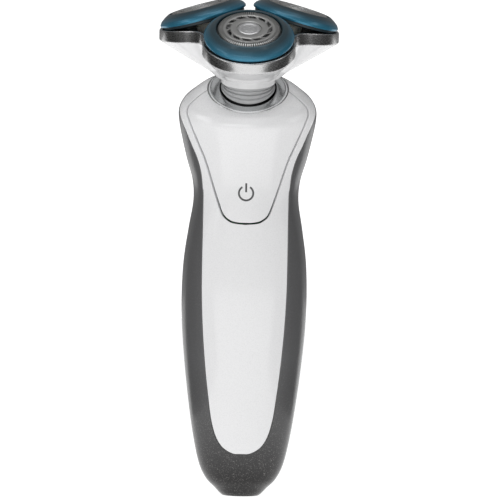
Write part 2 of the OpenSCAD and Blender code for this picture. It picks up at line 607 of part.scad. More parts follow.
module guard_cap() color("white") in_unit() {
    translate([0, 0, 3.3]) cylinder(r = 3.8, h = 0.45);
    translate([0, 0, 1.2]) cylinder(r = 0.8, h = 2.2);
}
module cutter() color("lightgray") in_unit() {
    difference() {
        translate([0, 0, 0.6]) cylinder(r = 9.9, h = 0.5);
        translate([0, 0, 0]) cylinder(r = 2.4, h = 2);
        for (i = [0:5]) rotate([0, 0, 60 * i]) translate([6.2, 0, 0]) cylinder(r = 1.5, h = 2);
    }
    for (i = [0:blades - 1]) rotate([0, 0, 360 * i / blades])
        translate([8.4, -0.25, 1.05]) cube([1.4, 0.5, 2.1]);
}
module cutter_hub() color("ivory") in_unit() difference() {
    union() {
        translate([0, 0, -5.6]) cylinder(r = 3.2, h = 5.7);
        cylinder(r = 4.4, h = 0.6);
        translate([0, 0, 0.5]) cylinder(r = 2.35, h = 1.4);
    }
    translate([0, 0, 0]) cylinder(r = 0.8 + fit_gap, h = 3);
    translate([0, 0, -6.6]) cylinder(r = 2.8, h = 4.2, $fn = 3);
}

rear_housing();
front_panel();
power_panel();
panel_plunger();
foot_plate();
collar_ring();
neck_bellows();
neck_seat();
spindle_bearing();
shaft_seal();
motor_can();
motor_rotor();
motor_seat();
inner_frame();
frame_screws();
battery();
battery_contacts();
circuit_board();
push_switch();
light_guide();
charging_socket();
charging_pins();
housing_seal();
drive_spindle();
gimbal_ring();
coupling_core();
head_collar();
head_bowl();
rim_band();
gear_plate();
sun_gear();
head_holder();
// The three shaving units are alike, a third of a turn apart round the head axis.
for (k = [1:3]) in_head() rotate([0, 0, 120 * (k - 1)]) {
    planet_gear();
    drive_pin();
    petal_spring();
    petal_frame();
    comfort_ring();
    shaving_guard();
    guard_cap();
    cutter();
    cutter_hub();
}
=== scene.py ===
"""Rotary electric shaver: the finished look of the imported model, piece by piece."""
import math

import bmesh
import bpy
import numpy as np
from mathutils import Matrix, Vector


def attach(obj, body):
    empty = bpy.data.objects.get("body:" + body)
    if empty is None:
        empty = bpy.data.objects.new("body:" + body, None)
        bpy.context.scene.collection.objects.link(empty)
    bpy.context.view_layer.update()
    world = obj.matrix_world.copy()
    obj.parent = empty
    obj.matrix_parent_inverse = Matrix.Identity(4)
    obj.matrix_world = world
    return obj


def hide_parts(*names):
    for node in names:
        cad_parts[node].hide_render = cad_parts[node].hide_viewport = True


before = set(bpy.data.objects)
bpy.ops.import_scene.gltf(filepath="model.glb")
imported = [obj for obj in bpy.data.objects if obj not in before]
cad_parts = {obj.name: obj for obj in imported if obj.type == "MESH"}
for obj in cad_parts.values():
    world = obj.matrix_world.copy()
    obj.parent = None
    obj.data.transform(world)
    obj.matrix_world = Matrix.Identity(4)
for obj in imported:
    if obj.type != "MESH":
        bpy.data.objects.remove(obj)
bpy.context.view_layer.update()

# ---- Rear housing ----
# The back and sides of the handle: one dark moulded shell whose lacquer holds fine metal
# flake. It is lofted through the handle's own levels, and rolls over at the open seam.
MM = 0.001

# Height at the sides, half width, front depth, back depth, centre Y, rise towards the
# back, sag of that rise, roundness; in millimetres.
stations = np.array([
    [0, 6.2, 6.2, 6.2, 0, 0, 0, 2],
    [0.8, 7.2, 7.0, 7.2, 0, 0, 0, 2],
    [2.6, 8.9, 8.2, 8.8, 0, 0, 0, 2],
    [5.4, 11.7, 10.1, 10.9, 0, 0, 0, 2.05],
    [10, 14.1, 11.6, 12.8, 0, 0, 0, 2.1],
    [17, 15.9, 12.9, 14.4, 0, 0, 0, 2.1],
    [28, 17.8, 14.1, 15.8, 0, 0, 0, 2.15],
    [42, 19.6, 15.2, 17.0, 0, 0, 0, 2.15],
    [56, 20.9, 16.1, 17.8, 0, 0, 0, 2.15],
    [68, 21.3, 16.5, 18.0, 0, 0, 0, 2.15],
    [80, 20.8, 16.4, 17.6, 0, 0, 0, 2.15],
    [91, 19.3, 15.9, 16.8, 0, 0, 0, 2.15],
    [100, 17.9, 15.4, 16.1, 0, 0, 0, 2.1],
    [107, 18.3, 15.5, 16.1, 0, 0, 0, 2.1],
    [114, 20.3, 16.1, 16.8, 0, 0, 0, 2.05],
    [121, 22.0, 16.8, 17.6, -0.3, 0.02, 0, 2.05],
    [127, 23.2, 16.6, 17.8, -0.9, 0.16, 0.002, 2.05],
    [131.2, 23.3, 15.5, 17.2, -1.5, 0.316, 0.005, 2],
    [134.2, 21.7, 14.3, 16.0, -2.1, 0.469, 0.01, 2],
    [136.2, 18.8, 12.9, 14.2, -2.6, 0.612, 0.015, 2],
    [137.6, 16.0, 11.7, 12.3, -2.9, 0.744, 0.018, 2],
    [138.2, 13.85, 10.65, 10.65, -3.0, 0.839, 0.0209, 2]])
top_level = len(stations) - 1
wall = 1.6
panel_tip = 14.6


def catmull(p0, p1, p2, p3, f):
    return 0.5 * (2 * p1 + (p2 - p0) * f + (2 * p0 - 5 * p1 + 4 * p2 - p3) * f ** 2
                  + (-p0 + 3 * p1 - 3 * p2 + p3) * f ** 3)


def level(t):
    i = np.clip(np.floor(t).astype(int), 0, top_level - 1)
    f = (t - i)[..., None]
    return catmull(stations[np.maximum(i - 1, 0)], stations[i], stations[i + 1],
                   stations[np.minimum(i + 2, top_level)], f)


def skin(t, a):
    """Points of the handle's surface, at a level and at degrees round from the front."""
    s = level(t)
    e = 2 / s[..., 7]
    c, w = np.cos(np.radians(a)), np.sin(np.radians(a))
    c, w = np.sign(c) * abs(c) ** e, np.sign(w) * abs(w) ** e
    dy = -np.where(c > 0, s[..., 2], s[..., 3]) * c
    z = s[..., 0] + s[..., 5] * dy - s[..., 6] * np.maximum(0, dy) ** 2
    return np.stack([s[..., 1] * w, s[..., 4] + dy, z], -1)


def skin_normal(t, a):
    h = 0.02
    u = np.clip(t, 2 * h, top_level - 2 * h)
    n = np.cross(skin(u, a + 1) - skin(u, a - 1), skin(u + h, a) - skin(u - h, a))
    return n / np.linalg.norm(n, axis=-1, keepdims=True)


table_t = np.linspace(0, top_level, 4001)
table_z = level(table_t)[:, 0]


def level_at(z):
    return np.interp(z, table_z, table_t)


def angle_of(t, x):
    s = level(t)
    return np.degrees(np.arcsin(np.clip(x / s[..., 1], 0, 1) ** (s[..., 7] / 2)))


class Edge:
    """A panel's side edge: half widths by height, then an even sweep to the ring."""

    def __init__(self, points, top_angle):
        p = np.array(points, float)
        i = np.arange(0, len(p) - 1, 0.05)
        k, f = i.astype(int), (i % 1)[:, None]
        self.line = catmull(p[np.maximum(k - 1, 0)], p[k], p[k + 1],
                            p[np.minimum(k + 2, len(p) - 1)], f)
        self.line[:, 0] = np.maximum.accumulate(self.line[:, 0])
        self.tip, self.top = p[0, 0], p[-1]
        self.top_angle = top_angle

    def __call__(self, t):
        z = level(t)[..., 0]
        t_last = level_at(self.top[0])
        a_last = angle_of(np.array(t_last), self.top[1])
        low = angle_of(t, np.interp(z, self.line[:, 0], self.line[:, 1]))
        high = a_last + (self.top_angle - a_last) * (t - t_last) / (top_level - t_last)
        return np.where(z < self.tip - 0.01, 0, np.where(z <= self.top[0], low, high))


panel_edge = Edge([
    [14.6, 1.6], [14.9, 3.0], [15.6, 4.7], [17, 6.6], [19.2, 8.2], [22, 9.4], [25, 10.2],
    [28, 10.8], [33, 11.5], [42, 12.6], [53, 13.6], [63, 14.2], [74, 14.5], [100, 14.5],
    [104, 14.8], [109, 15.4], [114, 16.8], [119, 19.0], [124, 20.9], [128, 22.4]], 125)


def degrees_per_mm(t, a):
    return 1 / np.linalg.norm(skin(t, a + 0.5) - skin(t, a - 0.5), axis=-1)


def shell_mesh(levels, start, stop, roll, from_tip=None, columns=26, depth=wall):
    """Points and faces of a moulded shell between two edge angles, mirrored across X = 0.

    Its open edges roll inwards over a small radius. Where start is 0 or stop is 180 the
    two halves join.
    """
    t = np.asarray(levels, float)
    near = roll * np.array([0, 0.06, 0.2, 0.45, 0.75, 1.0, 1.6])
    per_a, per_b = degrees_per_mm(t, start), degrees_per_mm(t, stop)
    room = (stop - start) / np.maximum(per_a, per_b)
    near = near[None, :] * np.minimum(1, room / (5 * roll))[:, None]
    left = start[:, None] + near * per_a[:, None]
    right = (stop[:, None] - near * per_b[:, None])[:, ::-1]
    fill = np.linspace(0, 1, columns)[1:-1]
    middle = left[:, -1:] + (right[:, :1] - left[:, -1:]) * fill
    a = np.concatenate([left, middle, right], 1)
    tt = np.repeat(t[:, None], a.shape[1], 1)
    gap = np.full(a.shape, 9.0)
    gap[start > 0] = np.minimum(gap, (a - start[:, None]) / per_a[:, None])[start > 0]
    gap[stop < 180] = np.minimum(gap, (stop[:, None] - a) / per_b[:, None])[stop < 180]
    if from_tip is not None:
        gap = np.minimum(gap, from_tip[:, None])
    sink = roll - np.sqrt(roll ** 2 - np.clip(roll - gap, 0, roll) ** 2)
    base, normal = skin(tt, a), skin_normal(tt, a)
    outer, inner = base - sink[..., None] * normal, base - depth * normal
    for sheet in (outer, inner):
        sheet[start == 0, 0, 0] = 0
        sheet[stop >= 180, -1, 0] = 0
    m, w = a.shape
    points, faces = [], []
    for side in (1, -1):
        o = len(points)
        q = o + m * w
        for sheet in (outer, inner):
            points += (sheet.reshape(-1, 3) * (side, 1, 1)).tolist()
        quads = []
        for i in range(m - 1):
            for j in range(w - 1):
                k = i * w + j
                quads.append((o + k, o + k + 1, o + k + w + 1, o + k + w))
                quads.append((q + k, q + k + w, q + k + w + 1, q + k + 1))
            if start[i] > 0 or start[i + 1] > 0:
                k = i * w
                quads.append((o + k, o + k + w, q + k + w, q + k))
            if stop[i] < 180:
                k = i * w + w - 1
                quads.append((o + k, q + k, q + k + w, o + k + w))
        for j in range(w - 1):
            k = (m - 1) * w + j
            quads.append((o + j, q + j, q + j + 1, o + j + 1))
            quads.append((o + k, o + k + 1, q + k + 1, q + k))
        faces += quads if side == 1 else [f[::-1] for f in quads]
    return points, faces


def from_tip_up(tip, rows):
    f = np.linspace(0, 1, rows)
    t0 = level_at(tip)
    return t0 + (top_level - t0) * (0.3 * f ** 2 + 0.7 * f ** 1.7)


class Wire:
    """A node's output, as a value in shader expressions."""

    def __init__(self, finish, socket):
        self.finish, self.socket = finish, socket

    def math(self, operation, *others, swap=False):
        values = (self, *others)
        return self.finish.node("Math", {"operation": operation},
                                dict(enumerate(values[::-1] if swap else values)))

    def __add__(self, other):
        return self.math("ADD", other)

    def __sub__(self, other):
        return self.math("SUBTRACT", other)

    def __rsub__(self, other):
        return self.math("SUBTRACT", other, swap=True)

    def __mul__(self, other):
        return self.math("MULTIPLY", other)

    def __truediv__(self, other):
        return self.math("DIVIDE", other)

    __radd__ = __add__
    __rmul__ = __mul__


class Finish:
    """A material being made: its node tree, and the shader that it ends in.

    Its pattern lies in the object's frame, or with own in the frame that the piece was
    made in.
    """

    def __init__(self, name, own=False, **sockets):
        self.material = bpy.data.materials.new(name)
        self.material.use_nodes = True
        self.tree = self.material.node_tree
        self.shader = self.tree.nodes["Principled BSDF"]
        self.feed(self.shader, sockets)
        self.place = self.node("TexCoord", out="Object")
        if own:
            self.place = self.node("Attribute", {"attribute_name": "own_place"}, out="Vector")

    def feed(self, node, sockets):
        for label, value in sockets.items():
            socket = node.inputs[label if isinstance(label, int) else label.replace("_", " ")]
            if isinstance(value, Wire):
                self.tree.links.new(value.socket, socket)
            elif hasattr(value, "__len__") and socket.type == "RGBA":
                socket.default_value = (*value[:3], 1)
            else:
                socket.default_value = value

    def node(self, kind, settings=None, numbered=None, out=0, **sockets):
        """Any node: its type and settings, then its sockets by number or by name."""
        node = self.tree.nodes.new("ShaderNode" + kind)
        for key, value in (settings or {}).items():
            if key == "stops":
                ramp = node.color_ramp
                while len(ramp.elements) < len(value):
                    ramp.elements.new(0.5)
                for stop, (where, grey) in zip(ramp.elements, value):
                    stop.position = where
                    stop.color = (grey, grey, grey, 1)
            else:
                setattr(node, key, value)
        self.feed(node, numbered or {})
        self.feed(node, sockets)
        return Wire(self, node.outputs[out])

    def axis(self, label):
        """One coordinate of the piece's own frame, in metres."""
        return self.node("SeparateXYZ", out=label, Vector=self.place)

    def noise(self, size, detail=2.0, stretch=(1, 1, 1), roughness=0.5):
        """Soft noise from 0 to 1, with features about size metres across."""
        spot = self.node("VectorMath", {"operation": "MULTIPLY"}, {0: self.place, 1: stretch})
        return self.node("TexNoise", Vector=spot, Scale=1 / size, Detail=detail,
                         Roughness=roughness)

    def cells(self, size, out="Distance"):
        return self.node("TexVoronoi", out=out, Vector=self.place, Scale=1 / size)

    def ramp(self, value, *stops):
        return self.node("ValToRGB", {"stops": stops}, Fac=value)

    def mix(self, amount, one, other):
        """A colour between two."""
        return self.node("Mix", {"data_type": "RGBA"}, {0: amount, 6: one, 7: other}, out=2)

    def bump(self, height, depth, strength=1.0):
        """Relief of the given depth in metres, from a height of 0 to 1."""
        normal = self.node("Bump", Height=height, Distance=depth, Strength=strength)
        self.feed(self.shader, {"Normal": normal})


def piece(name, points, faces, finish, body, slot, stands_for=(), place=None, crease=40):
    """A mesh made in millimetres, put in its place, that rides on a body."""
    mesh = bpy.data.meshes.new(name)
    mesh.from_pydata([tuple(c * MM for c in p) for p in points], [], faces)
    own = mesh.attributes.new("own_place", "FLOAT_VECTOR", "POINT")
    own.data.foreach_set("vector", np.array(points, float).ravel() * MM)
    if place is not None:
        mesh.transform(place)
    work = bmesh.new()
    work.from_mesh(mesh)
    bmesh.ops.remove_doubles(work, verts=work.verts, dist=2e-7)
    bmesh.ops.dissolve_degenerate(work, edges=work.edges, dist=1e-8)
    bmesh.ops.recalc_face_normals(work, faces=work.faces)
    work.to_mesh(mesh)
    work.free()
    mesh.shade_smooth()
    mesh.set_sharp_from_angle(angle=math.radians(crease))
    mesh.materials.append(finish.material)
    obj = bpy.data.objects.new(name, mesh)
    bpy.context.scene.collection.objects.link(obj)
    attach(obj, body)
    if stands_for:
        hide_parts(*stands_for)
    return obj


flake_lacquer = Finish("flake_lacquer", Roughness=0.34, Coat_Weight=0.35, Coat_Roughness=0.12)
sparkle = flake_lacquer.ramp(flake_lacquer.cells(0.00022, "Color"), (0.72, 0), (0.95, 1))
depth_tone = flake_lacquer.ramp(flake_lacquer.axis("Z") * 16.0, (0.1, 0), (0.75, 1))
lower = flake_lacquer.mix(sparkle, (0.009, 0.008, 0.008), (0.15, 0.145, 0.14))
upper = flake_lacquer.mix(sparkle, (0.16, 0.16, 0.163), (0.22, 0.22, 0.223))
flake_lacquer.feed(flake_lacquer.shader, {
    "Base Color": flake_lacquer.mix(depth_tone, lower, upper),
    "Metallic": 0.45 + 0.3 * sparkle,
    "Roughness": 0.42 - 0.16 * flake_lacquer.noise(0.0006, 3)})
flake_lacquer.bump(flake_lacquer.noise(0.00035, 2), 0.000012)

foot_rows, open_rows = 40, 120
rear_levels = np.concatenate([np.linspace(0, float(level_at(panel_tip - 0.15)), foot_rows),
                              from_tip_up(panel_tip, open_rows)])
rear_rows = foot_rows + open_rows
rear_start = np.where(np.arange(rear_rows) < foot_rows, 0, panel_edge(rear_levels))
points, faces = shell_mesh(rear_levels, rear_start, np.full(rear_rows, 180.0), 0.18,
                           columns=44)
piece("rear_housing_shell", points, faces, flake_lacquer, "handle", "housing_dark",
      ["rear_housing"])

# ---- Front panel ----
# A white pearl-lacquered moulding let into the front of the rear housing, with a pointed
# foot and a slot for the power panel. It clips in, and a thin dark seam shows round it.
power_gap = 0.6
seam = 0.1

pearl_lacquer = Finish("pearl_lacquer", Roughness=0.26, Coat_Weight=0.7, Coat_Roughness=0.05,
                       Metallic=0.0)
shimmer = pearl_lacquer.cells(0.00016, "Color")
cloud = pearl_lacquer.noise(0.012, 3)
pearl_lacquer.feed(pearl_lacquer.shader, {
    "Base Color": pearl_lacquer.mix(0.35 * shimmer + 0.25 * cloud, (0.80, 0.80, 0.805),
                                    (0.86, 0.86, 0.87)),
    "Roughness": 0.24 + 0.1 * shimmer})
pearl_lacquer.bump(pearl_lacquer.noise(0.0005, 2), 0.000006)

power_outline = np.array([
    [92.4, 1.2], [92.6, 3.2], [93.2, 5.2], [95.1, 7.4], [99, 9.0], [104, 10.7],
    [109, 12.3], [114, 14.0], [119, 16.2], [124, 18.1], [128, 19.3], [131, 20.2]])
power_edge = Edge(power_outline.tolist(), 84)
# The slit's outline is the panel's, moved outwards square to itself
slope = np.gradient(power_outline, axis=0)
outwards = np.stack([-slope[:, 1], slope[:, 0]], 1) / np.linalg.norm(slope, axis=1)[:, None]
slit_top_angle = 85.5
slit_edge = Edge((power_outline + power_gap * outwards).tolist(), slit_top_angle)
power_tip = 92.4

slit_tip = power_tip - power_gap
solid_rows = np.linspace(float(level_at(panel_tip + 0.05)), float(level_at(slit_tip - 0.1)), 90)
tip_rows = level_at(panel_tip + 0.05 + np.array([0, 0.03, 0.08, 0.16, 0.28, 0.45, 0.8, 1.3, 2]))
slit_rows = from_tip_up(slit_tip, 90)
front_levels = np.concatenate([tip_rows, solid_rows[solid_rows > tip_rows[-1]], slit_rows])
heights = level(front_levels)[:, 0]
front_start = np.where(heights < slit_tip - 0.05, 0,
                       np.maximum(slit_edge(front_levels), 1.5))
front_stop = panel_edge(front_levels)
front_stop = front_stop - seam * degrees_per_mm(front_levels, front_stop)
points, faces = shell_mesh(front_levels, front_start, front_stop, 0.3,
                           heights - heights[0], columns=40)
piece("front_panel_shell", points, faces, pearl_lacquer, "handle", "panel_white",
      ["front_panel"])

# ---- Power panel ----
# The press panel that runs from the ring down to a rounded tip, in the same lacquer. It
# pivots under the ring, and its printed power mark lies over the switch.
power_levels = np.concatenate([
    level_at(power_tip + 0.02 + np.array([0, 0.03, 0.08, 0.16, 0.3])),
    from_tip_up(power_tip + 0.5, 100)])
power_heights = level(power_levels)[:, 0]
points, faces = shell_mesh(power_levels, np.zeros(len(power_levels)),
                           power_edge(power_levels), 0.3,
                           power_heights - power_heights[0], columns=40, depth=wall - 0.2)
piece("power_panel_shell", points, faces, pearl_lacquer, "power_button", "panel_white",
      ["power_panel"])

mark_ink = Finish("mark_ink", Roughness=0.5)
mark_ink.feed(mark_ink.shader, {
    "Base Color": mark_ink.mix(mark_ink.noise(0.0002, 2), (0.055, 0.055, 0.058),
                               (0.09, 0.09, 0.092))})
mark_z = 102.3
mark_r = 2.4
mark_line = 0.62
mark_proud = 0.03


def on_panel(x, z, lift):
    """A point on the handle's front at x and z, lifted off the surface."""
    t = level_at(np.array(z))
    a = angle_of(t, abs(x))
    p = skin(t, a) + lift * skin_normal(t, a)
    return [math.copysign(p[0], x), p[1], p[2]]


def strip(path, width):
    """A flat ribbon along a path of (x, z), standing just proud of the panel."""
    out, quads = [], []
    for i, (x, z) in enumerate(path):
        x0, z0 = path[max(i - 1, 0)]
        x1, z1 = path[min(i + 1, len(path) - 1)]
        n = math.hypot(x1 - x0, z1 - z0)
        nx, nz = (z1 - z0) / n * width / 2, -(x1 - x0) / n * width / 2
        out += [on_panel(x + nx, z + nz, mark_proud), on_panel(x - nx, z - nz, mark_proud),
                on_panel(x - nx, z - nz, -0.1), on_panel(x + nx, z + nz, -0.1)]
    for i in range(len(path) - 1):
        k = 4 * i
        for a, b in ((0, 1), (1, 2), (2, 3), (3, 0)):
            quads.append((k + a, k + b, k + b + 4, k + a + 4))
    last = 4 * (len(path) - 1)
    quads += [(3, 2, 1, 0), (last, last + 1, last + 2, last + 3)]
    return out, quads


open_angle = 32
ring_path = [(mark_r * math.sin(math.radians(v)), mark_z + mark_r * math.cos(math.radians(v)))
             for v in np.linspace(open_angle, 360 - open_angle, 49)]
bar_path = [(0, mark_z + v) for v in np.linspace(0.35, 3.35, 9)]
points, faces = strip(ring_path, mark_line)
bar_points, bar_faces = strip(bar_path, mark_line)
faces += [tuple(k + len(points) for k in f) for f in bar_faces]
piece("power_mark", points + bar_points, faces, mark_ink, "power_button", "panel_white",
      crease=30)

# ---- Foot, charging socket and pins ----
# A flat moulded plate closes the handle's foot round the two-pole inlet. The inlet is a
# black glass-filled moulding with two gold-plated pins pressed in.


def finish_node(finish, *names):
    """Gives CAD nodes a finish."""
    for name in names:
        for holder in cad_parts[name].material_slots:
            holder.material = finish.material


foot_lacquer = Finish("foot_lacquer", Roughness=0.5)
foot_lacquer.feed(foot_lacquer.shader, {
    "Base Color": foot_lacquer.mix(foot_lacquer.noise(0.0004, 3), (0.022, 0.021, 0.02),
                                   (0.05, 0.049, 0.048))})
foot_lacquer.bump(foot_lacquer.cells(0.0003), 0.00002)
finish_node(foot_lacquer, "foot_plate")

black_moulding = Finish("black_moulding", Roughness=0.55)
black_moulding.feed(black_moulding.shader, {
    "Base Color": black_moulding.mix(black_moulding.noise(0.001, 4), (0.014, 0.014, 0.015),
                                     (0.032, 0.032, 0.034)),
    "Roughness": 0.5 + 0.2 * black_moulding.noise(0.0025, 3)})
black_moulding.bump(black_moulding.noise(0.0003, 3), 0.00002)
finish_node(black_moulding, "charging_socket", "inner_frame", "neck_seat", "push_switch")


def turned_metal(name, colour, rough, size=0.0004, stretch=(1, 1, 12)):
    """A metal with fine tool marks and a little tarnish."""
    metal = Finish(name, Metallic=1.0)
    marks = metal.noise(size, 3, stretch)
    tarnish = metal.noise(0.003, 3)
    dull = tuple(0.72 * c for c in colour)
    metal.feed(metal.shader, {
        "Base Color": metal.mix(0.25 * marks + 0.35 * tarnish, colour, dull),
        "Roughness": rough + 0.14 * marks})
    metal.bump(marks, 0.000008)
    return metal


gold_plate = turned_metal("gold_plate", (0.85, 0.62, 0.30), 0.22)
finish_node(gold_plate, "charging_pins", "battery_contacts")

# ---- Seam seal and soft seats ----
# Black rubber: the cord seal under the seam between the front panel and the rear housing,
# the pad under the motor, and the lip seal round the drive spindle.
seal_rubber = Finish("seal_rubber", Roughness=0.75)
seal_rubber.feed(seal_rubber.shader, {
    "Base Color": seal_rubber.mix(seal_rubber.noise(0.0015, 4), (0.012, 0.012, 0.012),
                                  (0.034, 0.034, 0.034))})
seal_rubber.bump(seal_rubber.noise(0.0002, 2), 0.000015)
finish_node(seal_rubber, "housing_seal", "motor_seat", "shaft_seal")

# ---- Cell, circuit board and light guide ----
# The sleeved cell sits in the frame's cradle behind the board. The board is green laminate
# with copper tracks under its mask, and an acrylic ring spreads the light round the mark.
cell_sleeve = Finish("cell_sleeve", Roughness=0.35)
shrink = cell_sleeve.noise(0.002, 3, (1, 1, 0.15))
cell_sleeve.feed(cell_sleeve.shader, {
    "Base Color": cell_sleeve.mix(shrink, (0.03, 0.20, 0.10), (0.05, 0.30, 0.16))})
cell_sleeve.bump(shrink, 0.00003)
finish_node(cell_sleeve, "battery")

board_laminate = Finish("board_laminate", Roughness=0.4)
across = board_laminate.axis("X")
winding = across * 2600.0 + 9.0 * board_laminate.noise(0.006, 1)
tracks = board_laminate.ramp(winding.math("SINE"), (0.35, 0), (0.5, 1))
pads = board_laminate.ramp(board_laminate.cells(0.0035), (0.16, 1), (0.2, 0))
mask = board_laminate.mix(tracks, (0.010, 0.085, 0.035), (0.03, 0.16, 0.06))
board_laminate.feed(board_laminate.shader, {
    "Base Color": board_laminate.mix(pads, mask, (0.72, 0.70, 0.62))})
board_laminate.bump(tracks, 0.00003)
finish_node(board_laminate, "circuit_board")

frosted_acrylic = Finish("frosted_acrylic", Roughness=0.3, Transmission_Weight=0.6, IOR=1.49)
frosted_acrylic.feed(frosted_acrylic.shader, {
    "Base Color": frosted_acrylic.mix(frosted_acrylic.noise(0.001, 2), (0.80, 0.84, 0.87),
                                      (0.92, 0.94, 0.95))})
finish_node(frosted_acrylic, "light_guide")

# ---- Motor, spindle and bearing ----
# A small motor: drawn steel can, rotor on a ground shaft, and a hex-ended spindle in a
# bronze bush that carries the turning up the tilted neck.
drawn_steel = turned_metal("drawn_steel", (0.66, 0.66, 0.67), 0.24)
ground_steel = turned_metal("ground_steel", (0.74, 0.74, 0.75), 0.16, 0.0003)
bush_bronze = turned_metal("bush_bronze", (0.66, 0.44, 0.22), 0.32)
finish_node(drawn_steel, "motor_can", "frame_screws")
finish_node(ground_steel, "motor_rotor", "drive_spindle", "gimbal_ring")
finish_node(bush_bronze, "spindle_bearing")

# ---- Collar ring ----
# The satin-plated ring that caps the top of the handle: a dished tilted oval with a bright
# bead round its outer edge, dropped in over both panels.
ring_r = 13.5
ring_t = 1.2
ring_mid = (0, -3, 138.2)
ring_rise = 0.839
ring_sag = 0.0209
ring_steps = 288


def ring_z(y):
    d = y - ring_mid[1]
    return ring_mid[2] + ring_rise * d - ring_sag * max(0, d) ** 2


def ring_loop(blend, lift):
    """A loop of the ring, from its outer edge at 0 to its hole at 1."""
    out = []
    for j in range(ring_steps):
        a = 2 * math.pi * j / ring_steps
        outer = (ring_r * math.sin(a), ring_mid[1] - (ring_r - 3.2) * math.cos(a))
        inner = (9.65 * math.sin(a), -1.8 - 8.6 * math.cos(a))
        x = outer[0] + (inner[0] - outer[0]) * blend
        y = outer[1] + (inner[1] - outer[1]) * blend
        out.append((x, y, ring_z(y) + lift))
    return out


def loft(loops, close=True):
    """Points and faces that join loops of equal length, as a closed tube of revolution."""
    n = len(loops[0])
    out = [p for loop in loops for p in loop]
    quads = []
    for i in range(len(loops) if close else len(loops) - 1):
        k = (i + 1) % len(loops)
        for j in range(n):
            m = (j + 1) % n
            quads.append((i * n + j, i * n + m, k * n + m, k * n + j))
    return out, quads


satin_plate = Finish("satin_plate", Metallic=1.0)
brush = satin_plate.noise(0.004, 4)
satin_plate.feed(satin_plate.shader, {
    "Base Color": satin_plate.mix(brush, (0.86, 0.875, 0.88), (0.74, 0.75, 0.755)),
    "Roughness": 0.16 + 0.1 * brush})
satin_plate.bump(satin_plate.noise(0.0003, 2), 0.000003)
points, faces = loft([ring_loop(f, h) for f, h in (
    (0.2, -ring_t), (0, -0.3), (0.02, -0.12), (0.06, 0.02), (0.11, 0.08), (0.16, 0.07),
    (0.20, 0.0), (0.235, -0.1), (0.27, -0.14), (0.45, -0.2), (0.7, -0.28), (0.9, -0.34),
    (0.97, -0.4), (1, -0.5), (1, -ring_t))])
piece("collar_ring_plated", points, faces, satin_plate, "handle", "collar_satin",
      ["collar_ring"])

# ---- Neck bellows ----
# Three soft grey tiers that fan out towards the front and close the neck against hair and
# water. They are moulded in one piece round the neck seat.
head_tilt = 19
head_place = Matrix.Translation((0, -3 * MM, 140.2 * MM)) @ Matrix.Rotation(
    math.radians(head_tilt), 4, "X")
bellows_steps = 240


def tier(r, f, lift=0.0):
    out = []
    for j in range(bellows_steps):
        a = 2 * math.pi * j / bellows_steps
        y = -r * math.cos(a)
        fan = 0 if y > 0.8 else ((0.8 - y) / 9.9) ** 1.15
        out.append((r * math.sin(a), y, lift - 1.1 - 0.2 * f - 3.9 * f * fan))
    return out


soft_grey = Finish("soft_grey", Roughness=0.5, Coat_Weight=0.15, Coat_Roughness=0.3)
bloom = soft_grey.noise(0.002, 4)
soft_grey.feed(soft_grey.shader, {
    "Base Color": soft_grey.mix(bloom, (0.40, 0.405, 0.41), (0.50, 0.505, 0.51)),
    "Roughness": 0.42 + 0.15 * bloom})
soft_grey.bump(soft_grey.noise(0.00025, 2), 0.00001)
bellows_loops = [tier(7.9, 0, 1.7), tier(8.0, 0.02, 1.2)]
for r, top, foot in ((8.05, 0.02, 0.3), (8.65, 0.36, 0.64), (9.2, 0.7, 0.97)):
    bellows_loops += [tier(r - 0.35, top), tier(r - 0.1, top), tier(r - 0.02, top + 0.015),
                      tier(r, top + 0.035), tier(r, foot - 0.02), tier(r - 0.03, foot),
                      tier(r - 0.12, foot + 0.01), tier(r - 0.4, foot + 0.01)]
bellows_loops += [tier(8.8, 1), tier(7.5, 1), tier(7.5, 0, 1.7)]
points, faces = loft(bellows_loops)
piece("neck_bellows_soft", points, faces, soft_grey, "handle", "bellows_grey",
      ["neck_bellows"], head_place)

# ---- Neck coupling ----
# The square-shouldered coupling that the head clicks onto, in dark glass-filled nylon.
dark_nylon = Finish("dark_nylon", Roughness=0.45)
fibre = dark_nylon.noise(0.0008, 4, (1, 1, 0.3))
dark_nylon.feed(dark_nylon.shader, {
    "Base Color": dark_nylon.mix(fibre, (0.03, 0.035, 0.04), (0.06, 0.065, 0.07))})
dark_nylon.bump(fibre, 0.00002)
finish_node(dark_nylon, "coupling_core", "gear_plate")

# ---- Head collar and bowl ----
# Glossy white mouldings: the short collar round the neck, and the bowl that flares from it
# to a three-lobed lip and catches the hair.
lobe_r = 15.6
lobe_d = 17.3
valley_r = 8
head_steps = 360


def trefoil(a):
    """Radius of the three-lobed outline at an angle, with filleted valleys."""
    b = abs((a + 420) % 120 - 60)
    half = lobe_d * math.sin(math.radians(60))
    mid = lobe_d * 0.5 + math.sqrt((lobe_r + valley_r) ** 2 - half ** 2)
    touch_x = lobe_d + (mid * 0.5 - lobe_d) * lobe_r / (lobe_r + valley_r)
    touch_y = mid * math.sin(math.radians(60)) * lobe_r / (lobe_r + valley_r)
    limit = math.degrees(math.atan2(touch_y, touch_x))
    u = math.radians(b)
    if b <= limit:
        return lobe_d * math.cos(u) + math.sqrt(lobe_r ** 2 - (lobe_d * math.sin(u)) ** 2)
    u = math.radians(60 - b)
    return mid * math.cos(u) - math.sqrt(valley_r ** 2 - (mid * math.sin(u)) ** 2)


def wave(a):
    return (1 - math.cos(math.radians(3 * a))) / 2


def head_loop(radius, height):
    """A loop round the head, where radius and height are functions of the angle."""
    out = []
    for j in range(head_steps):
        a = 360 * j / head_steps
        r = radius(a)
        out.append((r * math.sin(math.radians(a)), -r * math.cos(math.radians(a)), height(a)))
    return out


